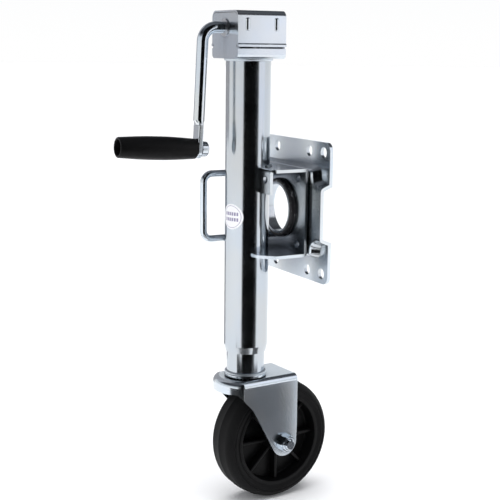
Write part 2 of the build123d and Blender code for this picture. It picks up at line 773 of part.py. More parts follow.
def hexagon(face, end):
    """A hexagonal prism on the axle, from its seat to its chamfered end."""
    flat = RegularPolygon(axle_hex / 2, 6, major_radius=False)
    x0, x1 = sorted((face, end))
    prism = extrude(Plane((x0, castor_trail, axle_height), x_dir=(0, 1, 0), z_dir=(1, 0, 0)) * flat, x1 - x0)
    turned = on_axle(axle_hex / 2 / cos(radians(30)), x0, x1)
    return prism & chamfer(edges_at(turned, "x", end), hex_chamfer)


def axle_bolt():
    head = -yoke_half_width
    end = yoke_half_width + axle_washer_thickness + axle_nut_length + nut_collar_length + axle_end
    shank = chamfer(edges_at(on_axle(axle_radius, head, end), "x", end), axle_chamfer)
    return on_castor(hexagon(head, head - axle_head_length) + shank)


def axle_nut():
    start = yoke_half_width + axle_washer_thickness
    middle = start + axle_nut_length
    end = middle + nut_collar_length
    collar = fillet(edges_at(on_axle(nut_collar_radius, middle, end), "x", end), nut_collar_length / 2)
    bore = on_axle(axle_radius + press_fit, start - past, end + past)
    return on_castor(hexagon(start, middle) + collar - bore)


def axle_washer():
    start = yoke_half_width
    end = start + axle_washer_thickness - press_fit
    bore = on_axle(axle_radius + press_fit, start - past, end + past)
    return on_castor(on_axle(axle_washer_radius, start, end) - bore)


def wheel_bush():
    """The spacer tube that the bolt clamps between the arms."""
    reach = arm_inside - press_fit
    outer = on_axle(wheel_bush_radius, -reach, reach)
    return on_castor(outer - on_axle(axle_radius + press_fit, -reach - past, reach + past))


def wheel_tyre():
    rubber = on_axle(wheel_radius, -wheel_half_width, wheel_half_width)
    rubber = fillet(rubber.edges().filter_by(GeomType.CIRCLE), tyre_round)
    reach = wheel_half_width + past
    return on_castor(rubber - on_axle(tyre_inner + press_fit, -reach, reach))


def wheel_rim():
    """The band of the plastic centre that carries the tyre."""
    edge = wheel_half_width - rim_step
    ring = on_axle(tyre_inner, -edge, edge)
    return on_castor(ring - on_axle(tyre_inner - rim_width, -edge - past, edge + past))


def wheel_centre():
    """The web and hub of the plastic centre."""
    web = on_axle(tyre_inner - rim_width, -wheel_web / 2, wheel_web / 2)
    core = web + on_axle(wheel_hub_radius, -wheel_hub_half, wheel_hub_half)
    reach = wheel_hub_half + past
    return on_castor(core - on_axle(wheel_bush_radius + running_fit, -reach, reach))


def wheel_ribs():
    """The ribs of the plastic centre, from its hub to its rim on both faces of the web."""
    reach = wheel_half_width - rim_step - rib_setback
    band = on_axle(tyre_inner - rim_width, -reach, reach)
    band -= on_axle(wheel_hub_radius, -reach - past, reach + past)
    band -= on_axle(tyre_inner, -wheel_web / 2, wheel_web / 2)
    ribs = []
    for i in range(wheel_ribs_count):
        turn = Pos(0, castor_trail, axle_height) * Rot(360 * i / wheel_ribs_count, 0, 0)
        blade = turn * Pos(0, 0, tyre_inner / 2) * Box(2 * reach, rib_thickness, tyre_inner)
        ribs += (band & blade).solids()
    return on_castor(Compound(ribs))


parts = {
    "mounting_plate": mounting_plate, "hub_retainer": hub_retainer, "hub_washer": hub_washer,
    "swivel_washer": swivel_washer, "swivel_bracket": swivel_bracket, "outer_tube": outer_tube,
    "round_label": round_label, "grease_plug": grease_plug, "gear_frame": gear_frame,
    "gear_cover": gear_cover, "crank_bushings": crank_bushings, "bearing_plate": bearing_plate,
    "thrust_races": thrust_races, "thrust_balls": thrust_balls, "lock_handle": lock_handle,
    "lock_collar": lock_collar, "lock_spring": lock_spring, "crank_arm": crank_arm,
    "crank_pinion": crank_pinion, "pinion_pin": pinion_pin, "shaft_clip": shaft_clip,
    "grip_spindle": grip_spindle, "hand_grip": hand_grip, "lift_screw": lift_screw,
    "screw_gear": screw_gear, "gear_pin": gear_pin, "gear_washer": gear_washer,
    "inner_tube": inner_tube, "lift_nut": lift_nut, "king_pin": king_pin,
    "castor_balls": castor_balls, "castor_yoke": castor_yoke, "king_nut": king_nut,
    "axle_bolt": axle_bolt, "axle_nut": axle_nut, "axle_washer": axle_washer,
    "wheel_bush": wheel_bush, "wheel_tyre": wheel_tyre, "wheel_rim": wheel_rim,
    "wheel_centre": wheel_centre, "wheel_ribs": wheel_ribs,
}

os.makedirs("parts", exist_ok=True)
for name, make in parts.items():
    shape = make()
    export_step(shape, f"parts/{name}.step")
    print(name, round(shape.volume), "mm3")
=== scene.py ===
import json
from collections import namedtuple
from math import atan2, cos, pi, radians, sin, tan, tau

import bmesh
import bpy
from bpy.props import FloatProperty, FloatVectorProperty, IntProperty, PointerProperty
from mathutils import Matrix, Vector


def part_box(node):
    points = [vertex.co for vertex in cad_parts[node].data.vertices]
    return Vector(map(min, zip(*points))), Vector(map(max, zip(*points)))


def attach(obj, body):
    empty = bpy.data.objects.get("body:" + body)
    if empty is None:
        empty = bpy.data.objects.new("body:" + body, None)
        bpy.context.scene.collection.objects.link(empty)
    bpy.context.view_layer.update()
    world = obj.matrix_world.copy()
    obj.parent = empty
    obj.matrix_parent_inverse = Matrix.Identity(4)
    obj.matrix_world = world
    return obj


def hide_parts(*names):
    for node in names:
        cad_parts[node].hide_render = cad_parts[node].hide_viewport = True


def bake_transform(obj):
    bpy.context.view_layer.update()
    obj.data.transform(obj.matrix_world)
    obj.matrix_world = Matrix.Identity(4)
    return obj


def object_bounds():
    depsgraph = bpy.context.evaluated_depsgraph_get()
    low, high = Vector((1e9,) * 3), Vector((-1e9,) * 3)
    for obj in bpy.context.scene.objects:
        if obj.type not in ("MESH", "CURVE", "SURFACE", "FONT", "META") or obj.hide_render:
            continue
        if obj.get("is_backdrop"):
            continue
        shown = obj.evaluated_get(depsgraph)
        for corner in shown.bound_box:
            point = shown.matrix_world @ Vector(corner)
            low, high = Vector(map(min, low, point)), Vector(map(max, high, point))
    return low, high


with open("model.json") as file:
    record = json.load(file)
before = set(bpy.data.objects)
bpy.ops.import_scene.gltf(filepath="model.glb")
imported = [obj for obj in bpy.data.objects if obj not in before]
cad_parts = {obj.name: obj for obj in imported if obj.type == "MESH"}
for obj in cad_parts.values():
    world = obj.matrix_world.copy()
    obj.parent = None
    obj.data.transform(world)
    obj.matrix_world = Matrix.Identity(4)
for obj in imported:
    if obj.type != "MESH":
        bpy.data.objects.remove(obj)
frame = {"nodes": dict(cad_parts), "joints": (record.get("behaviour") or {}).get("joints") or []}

bl_info = {
    "name": "Trailer Tongue Jack",
    "version": (1, 0, 0),
    "blender": (4, 5, 0),
    "location": "View3D > Sidebar > Jack",
    "description": "Finishes and turned, moulded and welded pieces for a swivel-mount trailer jack",
    "category": "Object",
}

# ---- Lines and sizes read from the frame ----

JOINTS = {joint["name"]: joint for joint in frame["joints"]}
UP = Vector((0, 0, 1))
LEVEL = Vector((1, 1, 0))


def joint_line(name):
    """A point on a joint's line and the line's direction."""
    return Vector(JOINTS[name]["pos_m"]), Vector(JOINTS[name]["axis"]).normalized()


def along_and_out(line, co):
    """How far a point lies along a line, and its radius about it."""
    point, axis = line
    step = co - point
    along = step.dot(axis)
    return along, (step - along * axis).length


def turned_size(node, line):
    """Where a turned part starts and ends along a line, and its smallest and largest radius."""
    places = [along_and_out(line, vert.co) for vert in frame["nodes"][node].data.vertices]
    lengths, radii = zip(*places)
    return min(lengths), max(lengths), min(radii), max(radii)


def middle(node):
    low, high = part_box(node)
    return (low + high) / 2


TUBE_LINE = (middle("outer_tube") * LEVEL, UP)
WHEEL_LINE = joint_line("wheel_roll")
GRIP_LINE = joint_line("grip_spin")
TUBE_RADIUS = turned_size("outer_tube", TUBE_LINE)[3]
LEG_RADIUS = turned_size("inner_tube", TUBE_LINE)[3]
GRIP_SIZE = turned_size("hand_grip", GRIP_LINE)
TYRE_SIZE = turned_size("wheel_tyre", WHEEL_LINE)
WHEEL_SIZE = turned_size("wheel_centre", WHEEL_LINE)


# ---- Sizes and colours that a user would change ----

class GripSizes(bpy.types.PropertyGroup):
    """Sizes of the hand grip"""
    end_radius: FloatProperty(name="End Radius", description="Radius of the grip at both ends",
                              default=0.0112, unit="LENGTH")
    recess_radius: FloatProperty(name="Recess Radius", description="Radius of the socket in the far end",
                                 default=0.0086, unit="LENGTH")
    recess_depth: FloatProperty(name="Recess Depth", description="Depth of the open socket",
                                default=0.012, unit="LENGTH")
    rounding: FloatProperty(name="Rounding", description="Rounding of the grip's rims",
                            default=0.0014, unit="LENGTH")
    seam_height: FloatProperty(name="Seam Height", description="How far the moulding seam stands up",
                               default=0.00015, unit="LENGTH")


class WheelSizes(bpy.types.PropertyGroup):
    """Sizes of the tyre and the wheel's plastic centre"""
    shoulder: FloatProperty(name="Shoulder", description="Rounding between the tyre's tread and sides",
                            default=0.006, unit="LENGTH")
    crown: FloatProperty(name="Crown", description="How far the tread drops from middle to shoulders",
                         default=0.0012, unit="LENGTH")
    bead_height: FloatProperty(name="Bead Height", description="Height of the rings on the tyre's sides",
                               default=0.0006, unit="LENGTH")
    rim_wall: FloatProperty(name="Rim Wall", description="Thickness of the plastic band under the tyre",
                            default=0.005, unit="LENGTH")
    rim_step: FloatProperty(name="Rim Step", description="How far the rim sits inside the tyre's sides",
                            default=0.0012, unit="LENGTH")
    web: FloatProperty(name="Web", description="Thickness of the web between rim and hub",
                       default=0.007, unit="LENGTH")
    hub_radius: FloatProperty(name="Hub Radius", description="Radius of the moulded hub",
                              default=0.015, unit="LENGTH")
    rib_count: IntProperty(name="Ribs", description="Ribs on each face of the web", default=8)
    rib_width: FloatProperty(name="Rib Width", description="Thickness of each rib",
                             default=0.004, unit="LENGTH")
    rib_setback: FloatProperty(name="Rib Setback", description="How far the ribs sit inside the rim's edge",
                               default=0.007, unit="LENGTH")


class SpringSizes(bpy.types.PropertyGroup):
    """Sizes of the lock spring"""
    wire: FloatProperty(name="Wire", description="Radius of the lock spring's wire",
                        default=0.0007, unit="LENGTH")
    turns: IntProperty(name="Turns", description="Turns in the lock spring", default=9)
    facets: IntProperty(name="Facets", description="Faces along each turn of the spring", default=36)


class WeldSizes(bpy.types.PropertyGroup):
    """Sizes of the weld beads"""
    width: FloatProperty(name="Weld Width", description="Radius of a weld bead",
                         default=0.0019, unit="LENGTH")
    pitch: FloatProperty(name="Ripple Pitch", description="Length of one ripple along a bead",
                         default=0.0024, unit="LENGTH")
    ripple: FloatProperty(name="Ripple", description="Height of a ripple as a share of the bead's radius",
                          default=0.16, subtype="FACTOR")


def tint(name, description, default):
    """A colour property, opaque by default."""
    return FloatVectorProperty(name=name, description=description, subtype="COLOR", size=4,
                               default=default + (1,))


class JackFinishes(bpy.types.PropertyGroup):
    """Colours of the jack's materials"""
    zinc: tint("Zinc", "Colour of the bright zinc plating", (0.63, 0.69, 0.75))
    # Painted shade: the dark colour that tight corners are blended towards, standing in for their shadow.
    zinc_painted_shade: tint("Zinc Shade", "Colour of the plating in tight corners", (0.06, 0.075, 0.10))
    zinc_warm: tint("Zinc Bloom", "Colour of the plating's faint warm bloom", (0.68, 0.70, 0.70))
    black_steel: tint("Black Steel", "Colour of the blackened steel rings", (0.02, 0.02, 0.022))
    steel: tint("Steel", "Colour of ground and drawn steel", (0.55, 0.56, 0.58))
    bronze: tint("Bronze", "Colour of the oiled bronze bushes", (0.42, 0.29, 0.13))
    black_plastic: tint("Black Plastic", "Colour of the moulded black plastic", (0.0032, 0.0032, 0.0035))
    rubber: tint("Rubber", "Colour of the tyre", (0.0045, 0.0045, 0.0048))
    film: tint("Label", "Colour of the label's film", (0.86, 0.86, 0.88))
    ink: tint("Label Ink", "Colour of the label's marks", (0.09, 0.06, 0.22))


class StudioSizes(bpy.types.PropertyGroup):
    """The camera's place and lens, and the floor's colour"""
    camera_place: FloatVectorProperty(name="Camera Place", description="Where the camera stands",
                                      subtype="TRANSLATION", default=(1.1217, -0.6704, 0.1842))
    camera_heading: FloatProperty(name="Camera Heading", description="Compass angle about the jack",
                                  subtype="ANGLE", default=radians(61.3))
    camera_tilt: FloatProperty(name="Camera Tilt", description="How far the camera looks down",
                               subtype="ANGLE", default=radians(11.01))
    camera_roll: FloatProperty(name="Camera Roll", description="How far the camera leans to one side",
                               subtype="ANGLE", default=radians(0.672))
    focal_length: FloatProperty(name="Focal Length", description="Length of the camera's lens",
                                subtype="DISTANCE_CAMERA", default=80.8)
    sensor_width: FloatProperty(name="Sensor Width", description="Width of the camera's sensor",
                                subtype="DISTANCE_CAMERA", default=36)
    shift: FloatVectorProperty(name="Shift", description="Sideways and upward shift of the view",
                               size=2, default=(-0.0045, 0.028))
    floor_colour: tint("Floor", "Colour of the floor", (0.92, 0.92, 0.93))


# ---- Smaller sizes, in metres unless a line says otherwise ----

SAME_PLACE = 1e-5
MERGE_WITHIN = 1e-7
PARALLEL = 0.99                                  # least dot product of two lines along each other

GRIP_STATIONS = (0, 0.3, 0.5, 0.7, 1)            # corners of the barrel, as shares of its length
GRIP_WAIST_ROUNDING = 0.008
SEAM_SHARES = (0.8, 2)                           # the seam's height and half width, over Seam Height

TYRE_RIDGE = 0.0006                              # half the flat of the mould line round the tread
TYRE_FACE = 0.0045                               # from the rim to the inner edge of the side
TYRE_EDGE = (0.0012, 0.002)                      # slope at the outer edge of the side
TYRE_GROOVE = (0.004, 0.0034, 0.0022, 0.0016)    # corners of the groove, from the side's inner edge
TYRE_FOOT = (0.0018, 0.0012)                     # step where the tyre sits on the rim
TYRE_FACE_ROUNDING = 0.001
TREAD_ROUNDING_SHARE = 0.6                       # of the shoulder

CENTRE_SLOPE = 0.0008                            # draft of the rim and the hub
CENTRE_EDGE_ROUNDING = 0.0009
CENTRE_ROOT_ROUNDING = 0.0015
RIB_OVERLAP = 0.004                              # length that a rib sinks into hub and rim
RIB_ROUNDING = 0.0012

BEAD_FACETS = 12
BEAD_STEPS = 6                                   # faces along each ripple
BEAD_STANDOFF = {"seat": 0.25, "bracket": 0.2, "housing": 0.35, "leg": 0.2, "foot": 0.4}  # of its radius
BRACKET_BEADS = {"top": (28, 124), "bottom": (20, 140)}  # start and turn, in degrees

LABEL_RING = (0.0122, 0.0127)
LABEL_ROWS = (0.0033, -0.0031)                   # heights of the rows' middles
LABEL_ROW_HALF = (0.0093, 0.0019)                # half the width and half the height of a row
LABEL_BLOCK = (0.0017, 0.0005)                   # half the pitch of the blocks, half the gap between them

# Cloud patterns: patches in a metre, and the finer layers on them.
PATTERNS = {
    "bloom": (14, 3), "cloud": (30, 3), "speckle": (420, 2), "lines": (900, 3),
    "scratches": (700, 3), "stain": (60, 3),
    "wear": (260, 4), "oxide_haze": (120, 2), "oxide_grain": (900, 2),
    "rub": (70, 4), "grip_grain": (1100, 3), "wheel_grain": (700, 3),
    "dust": (38, 5), "rubber_grain": (1400, 3),
    "film_haze": (300, 2), "film_grain": (500, 2),
}
# The values between which a pattern's mask goes from nothing to full.
MASKS = {"bloom": (0.40, 0.68), "stain": (0.4, 0.7), "wear": (0.60, 0.74), "rub": (0.58, 0.76),
         "dust": (0.45, 0.75)}

# ---- The studio ----

FLOOR_RADIUS = 30
SKY_STOPS = ((0.0, (1, 1, 1, 1)), (0.34, (0.86, 0.89, 0.93, 1)), (0.46, (0.2, 0.21, 0.23, 1)),
             (0.62, (0.02, 0.021, 0.025, 1)), (0.95, (0.13, 0.135, 0.15, 1)))
SUN_SPREAD = radians(70)
BOX_SIZE = 1.6
Lamp = namedtuple("Lamp", "name kind place power")
LAMPS = (Lamp("overhead", "SUN", (0, 0, 4), 3.2), Lamp("left_box", "AREA", (0.2, -2.4, 1.6), 16),
         Lamp("right_box", "AREA", (2.4, 1.2, 1.5), 12))
# Headings and half widths are in degrees from the tube, and levels are brightness. A board whose low is
# None starts at the floor.
Board = namedtuple("Board", "name heading half_width reach low high level")
BOARDS = (
    Board("dark_board", 75, 36, 0.5, None, 1.0, 0.0),
    Board("left_board", -94, 19, 0.62, None, 1.0, 0.42),
    Board("ear_board", -61, 13, 0.62, 0.03, 1.0, 0.52),
    Board("bright_board", 134, 20, 0.6, 0.02, 0.6, 1.2),
    Board("low_board", 120, 17, 0.2, None, -0.235, 0.13),
    Board("foot_board", 57, 46, 0.22, None, -0.235, 0.01),
)
BOARD_BLUE = 1.06


# ---- Shader maths ----

class Amount:
    """A number that varies over a surface. A sum on it adds its own Math node."""

    def __init__(self, finish, socket):
        self.finish = finish
        self.socket = socket

    def maths(self, operation, first, second):
        return self.finish.amount("ShaderNodeMath", {"operation": operation}, {0: first, 1: second})

    def __add__(self, other):
        return self.maths("ADD", self, other)

    def __sub__(self, other):
        return self.maths("SUBTRACT", self, other)

    def __mul__(self, other):
        return self.maths("MULTIPLY", self, other)

    def __pow__(self, other):
        return self.maths("POWER", self, other)

    def __lt__(self, other):
        return self.maths("LESS_THAN", self, other)

    def __gt__(self, other):
        return self.maths("GREATER_THAN", self, other)

    def __rsub__(self, other):
        return self.maths("SUBTRACT", other, self)

    def __abs__(self):
        return self.maths("ABSOLUTE", self, 0)

    __radd__ = __add__
    __rmul__ = __mul__

    def sway(self, reach):
        """The value as a swing to either side of nought."""
        return (self - 0.5) * reach


def set_stops(ramp, stops):
    """Gives a colour ramp its (place, colour) stops."""
    while len(ramp.elements) < len(stops):
        ramp.elements.new(1)
    for element, (place, colour) in zip(ramp.elements, stops):
        element.position = place
        element.color = colour


class Finish:
    """A material under construction, around one Principled shader."""

    def __init__(self, name, **constants):
        self.material = bpy.data.materials.new(name)
        self.material.use_nodes = True
        self.tree = self.material.node_tree
        self.shader = self.tree.nodes["Principled BSDF"]
        for socket, value in constants.items():
            self.set(socket.replace("_", " "), value)

    def set(self, socket, value):
        self.feed(self.shader.inputs[socket], value)

    def feed(self, socket, value):
        if isinstance(value, Amount):
            value = value.socket
        if isinstance(value, bpy.types.NodeSocket):
            self.tree.links.new(value, socket)
        else:
            socket.default_value = value

    def node(self, kind, settings, inputs):
        """Any node: its settings are made first, then its sockets are fed by name or number."""
        made = self.tree.nodes.new(kind)
        for key, value in settings.items():
            if key == "stops":
                set_stops(made.color_ramp, value)
            else:
                setattr(made, key, value)
        for key, value in inputs.items():
            self.feed(made.inputs[key], value)
        return made

    def amount(self, kind, settings, inputs, output=0):
        return Amount(self, self.node(kind, settings, inputs).outputs[output])

    def place(self, centre=(0, 0, 0), stretch=(1, 1, 1)):
        """The place of each point of the surface, measured from a centre and scaled on each axis."""
        coordinates = self.node("ShaderNodeTexCoord", {}, {})
        inputs = {"Vector": coordinates.outputs["Object"], "Location": -Vector(centre), "Scale": stretch}
        return self.node("ShaderNodeMapping", {"vector_type": "POINT"}, inputs).outputs[0]

    def along(self, direction, centre):
        """How far each point lies from a centre in one direction."""
        inputs = {0: self.place(centre), 1: tuple(direction)}
        return self.amount("ShaderNodeVectorMath", {"operation": "DOT_PRODUCT"}, inputs, "Value")

    def noise(self, pattern, stretch=(1, 1, 1)):
        """A cloud pattern. The stretch scales it along each axis."""
        scale, detail = PATTERNS[pattern]
        inputs = {"Vector": self.place(stretch=stretch), "Scale": scale, "Detail": detail}
        return self.amount("ShaderNodeTexNoise", {"noise_dimensions": "3D"}, inputs, "Fac")

    def mask(self, pattern):
        """Soft-edged patches of a pattern, 0 to 1."""
        return self.between(self.noise(pattern), *MASKS[pattern])

    def between(self, value, low, high):
        """The value's share of the way from low to high, kept within 0 and 1."""
        inputs = {"Value": value, "From Min": low, "From Max": high}
        return self.amount("ShaderNodeMapRange", {"clamp": True}, inputs)

    def crowding(self, reach):
        """How far other surfaces shut a point in: 0 in the open, 1 in a tight corner."""
        return 1 - self.amount("ShaderNodeAmbientOcclusion", {"samples": 8}, {"Distance": reach}, "AO")

    def blend(self, share, first, second):
        """One colour turned towards another by a share."""
        node = self.node("ShaderNodeMix", {"data_type": "RGBA"}, {"Factor": share})
        for socket, value in zip([s for s in node.inputs if s.type == "RGBA"], (first, second)):
            self.feed(socket, value)
        return next(s for s in node.outputs if s.type == "RGBA")

    def bump(self, height, distance):
        made = self.node("ShaderNodeBump", {}, {"Height": height, "Distance": distance})
        self.set("Normal", made.outputs["Normal"])


def colours():
    return bpy.context.scene.jack_finishes


def toned(colour, tone):
    """A colour made darker or lighter."""
    return tuple(tone * c for c in colour[:3]) + (1,)


def zinc_plating(name, grain=(1, 1, 1), shine=0.2, bump=0.00002, shade=0.0, tone=1.0):
    """Bright zinc: a cool metal with a faint bloom, cloudy gloss, fine lines, and painted shade that
    darkens its tight corners.
    """
    line_range, line_tone, line_share = (0.62, 0.3), 0.82, 0.25
    tint_weight, bump_weight = 0.7, 0.6
    cloud_sway, line_sway = 0.08, 0.05
    corner_reach, corner_range = 0.05, (0.22, 0.72)
    finish = Finish(name, Metallic=1.0)
    speckle = finish.noise("speckle")
    lines = finish.noise("lines", grain)
    plated = finish.blend(finish.mask("bloom"), toned(colours().zinc, tone),
                          toned(colours().zinc_warm, tone))
    drawn = finish.between(lines * tint_weight + speckle * (1 - tint_weight), *line_range)
    plated = finish.blend(drawn * line_share, plated, toned(colours().zinc, line_tone * tone))
    # Painted shade: where other surfaces crowd a point, the base colour turns towards the shade colour in
    # place of real shadow.
    if shade:
        corner = finish.between(finish.crowding(corner_reach), *corner_range) * shade
        plated = finish.blend(corner, plated, tuple(colours().zinc_painted_shade))
    finish.set("Base Color", plated)
    finish.set("Roughness", shine + finish.noise("cloud").sway(cloud_sway) + lines.sway(line_sway))
    finish.bump(lines * bump_weight + speckle * (1 - bump_weight), bump)
    return finish.material


def ground_steel(name, colour, shine=0.28):
    """Bare steel or bronze with fine scratches and a darker stain."""
    scratch_run, scratch_sway, scratch_depth, stain_tone = (1, 1, 6), 0.16, 0.00002, 0.7
    finish = Finish(name, Metallic=1.0)
    scratches = finish.noise("scratches", scratch_run)
    finish.set("Base Color", finish.blend(finish.mask("stain"), tuple(colour), toned(colour, stain_tone)))
    finish.set("Roughness", shine + scratches.sway(scratch_sway))
    finish.bump(scratches, scratch_depth)
    return finish.material


def black_oxide():
    """Blackened steel, worn through to bright steel in places."""
    shine, haze_sway, wear_share, grain_depth = 0.42, 0.2, 0.5, 0.00003
    finish = Finish("black_oxide", Specular_IOR_Level=0.4)
    wear = finish.mask("wear") * wear_share
    finish.set("Base Color", finish.blend(wear, tuple(colours().black_steel), tuple(colours().steel)))
    finish.set("Metallic", wear)
    finish.set("Roughness", shine + finish.noise("oxide_haze").sway(haze_sway))
    finish.bump(finish.noise("oxide_grain"), grain_depth)
    return finish.material


def moulded_plastic(name, shine, grain, depth):
    """Black plastic with the fine grain of its mould and a few lighter rub marks."""
    rub_tone, rub_share, rub_shine, grain_sway = 2.2, 0.6, 0.06, 0.15
    black = colours().black_plastic
    finish = Finish(name, Specular_IOR_Level=0.14)
    texture = finish.noise(grain)
    rub = finish.mask("rub")
    finish.set("Base Color", finish.blend(rub * rub_share, tuple(black), toned(black, rub_tone)))
    finish.set("Roughness", shine + texture.sway(grain_sway) + rub * rub_shine)
    finish.bump(texture, depth)
    return finish.material


def tyre_rubber():
    """Solid black rubber with a dusty bloom and fine flow marks."""
    dust_tone, dust_share, dust_shine = 1.9, 0.7, 0.08
    shine, grain_sway, grain_depth = 0.60, 0.16, 0.00006
    rubber = colours().rubber
    finish = Finish("tyre_rubber", Specular_IOR_Level=0.13)
    dust = finish.mask("dust")
    texture = finish.noise("rubber_grain")
    finish.set("Base Color", finish.blend(dust * dust_share, tuple(rubber), toned(rubber, dust_tone)))
    finish.set("Roughness", shine + texture.sway(grain_sway) + dust * dust_shine)
    finish.bump(texture, grain_depth)
    return finish.material


def label_film():
    """White film with a thin ring and two rows of plain blocks in place of lettering."""
    shine, haze_sway, ink_share, grain_depth = 0.34, 0.1, 0.8, 0.00001
    half_pitch, half_gap = LABEL_BLOCK
    half_width, half_height = LABEL_ROW_HALF
    centre = middle("round_label")
    outward = (centre - TUBE_LINE[0]) * LEVEL
    finish = Finish("label_film", Specular_IOR_Level=0.5)
    x = finish.along(UP.cross(outward.normalized()), centre)
    z = finish.along(UP, centre)
    radius = (x ** 2 + z ** 2) ** 0.5
    ring = (radius > LABEL_RING[0]) * (radius < LABEL_RING[1])
    blocks = x.maths("PINGPONG", x, half_pitch) > half_gap
    upper, lower = (abs(z - height) < half_height for height in LABEL_ROWS)
    marks = ring + blocks * (abs(x) < half_width) * (upper + lower)
    ink = finish.blend(marks * ink_share, tuple(colours().film), tuple(colours().ink))
    finish.set("Base Color", ink)
    finish.set("Roughness", shine + finish.noise("film_haze").sway(haze_sway))
    finish.bump(finish.noise("film_grain"), grain_depth)
    return finish.material


# ---- Making shapes ----

def piece(name, bm, body, material, replaces=(), smooth_angle=32):
    """Turns a finished bmesh into an object that rides on a body and shows a finish."""
    mesh = bpy.data.meshes.new(name)
    bm.normal_update()
    for face in bm.faces:
        face.smooth = True
    bm.to_mesh(mesh)
    bm.free()
    mesh.set_sharp_from_angle(angle=radians(smooth_angle))
    mesh.materials.append(material)
    made = bpy.data.objects.new(name, mesh)
    bpy.context.scene.collection.objects.link(made)
    if body:
        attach(made, body)
    if replaces:
        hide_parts(*replaces)
    return made


def spun(outline, line, steps=128):
    """A ring: a closed outline of (along, radius) corners spun about a line."""
    point, axis = line
    side = axis.orthogonal().normalized()
    shape = bmesh.new()
    corners = [shape.verts.new(point + axis * along + side * radius) for along, radius in outline]
    edges = [shape.edges.new((corners[i - 1], corners[i])) for i in range(len(corners))]
    bmesh.ops.spin(shape, geom=corners + edges, cent=point, axis=axis, angle=tau, steps=steps,
                   use_merge=True)
    return closed(shape)


def closed(shape):
    """Merges a shape's doubles and points its faces outwards."""
    bmesh.ops.remove_doubles(shape, verts=shape.verts, dist=MERGE_WITHIN)
    bmesh.ops.recalc_face_normals(shape, faces=shape.faces)
    return shape


def round_edges(shape, edges, amount, segments):
    bmesh.ops.bevel(shape, geom=edges, offset=amount, offset_type="OFFSET", affect="EDGES",
                    segments=segments, profile=0.5, material=-1, clamp_overlap=True)


def round_rims(shape, line, rims, amount, segments=4):
    """Rounds the circular edges that lie at the given (along, radius) corners of a spun ring."""

    def on_rim(edge, rim):
        return all(abs(a - b) < SAME_PLACE for vert in edge.verts
                   for a, b in zip(along_and_out(line, vert.co), rim))

    edges = [edge for edge in shape.edges if any(on_rim(edge, rim) for rim in rims)]
    round_edges(shape, edges, amount, segments)


def mirrored(half):
    """An outline from its half on the positive side, in order round the ring's section."""
    return half + [(-along, radius) for along, radius in reversed(half)]


def ripple(shape, centre_of, count_of, height):
    """Swells and narrows a bead along its run, as a weld's ripples do."""
    for vert in shape.verts:
        centre = centre_of(vert.co)
        swell = 1 + height * (abs(sin(pi * count_of(vert.co))) - 0.5)
        vert.co = centre + (vert.co - centre) * swell


def ring_bead(radius, height, sizes, start=0.0, turn=tau):
    """A weld bead round the tube's line at a height, for a whole turn or an arc of it."""
    point = TUBE_LINE[0] + UP * height
    whole = turn >= tau
    ripples = turn * radius / sizes.pitch
    place = (Matrix.Translation(point) @ Matrix.Rotation(start, 4, "Z")
             @ Matrix.Translation((radius, 0, 0)) @ Matrix.Rotation(pi / 2, 4, "X"))
    shape = bmesh.new()
    made = bmesh.ops.create_circle(shape, cap_ends=not whole, radius=sizes.width, segments=BEAD_FACETS,
                                   matrix=place)
    bmesh.ops.spin(shape, geom=made["verts"] + shape.edges[:] + shape.faces[:], cent=point, axis=UP,
                   angle=turn, steps=round(ripples * BEAD_STEPS), use_merge=whole)
    if not whole:
        bmesh.ops.holes_fill(shape, edges=[e for e in shape.edges if e.is_boundary])
    closed(shape)

    def angle(co):
        return (atan2(co.y - point.y, co.x - point.x) - start) % tau

    def centre_of(co):
        a = angle(co) + start
        return point + Vector((cos(a), sin(a), 0)) * radius

    ripple(shape, centre_of, lambda co: round(ripples) * angle(co) / turn, sizes.ripple)
    return shape


def joined(shapes):
    """One bmesh that holds several."""
    whole = bmesh.new()
    for shape in shapes:
        part = bpy.data.meshes.new("part")
        shape.to_mesh(part)
        shape.free()
        whole.from_mesh(part)
        bpy.data.meshes.remove(part)
    return whole


def dress(material, *nodes):
    """Gives CAD nodes a finish in place of their plain material."""
    for name in nodes:
        mesh = frame["nodes"][name].data
        mesh.materials.clear()
        mesh.materials.append(material)


# ---- The pieces ----

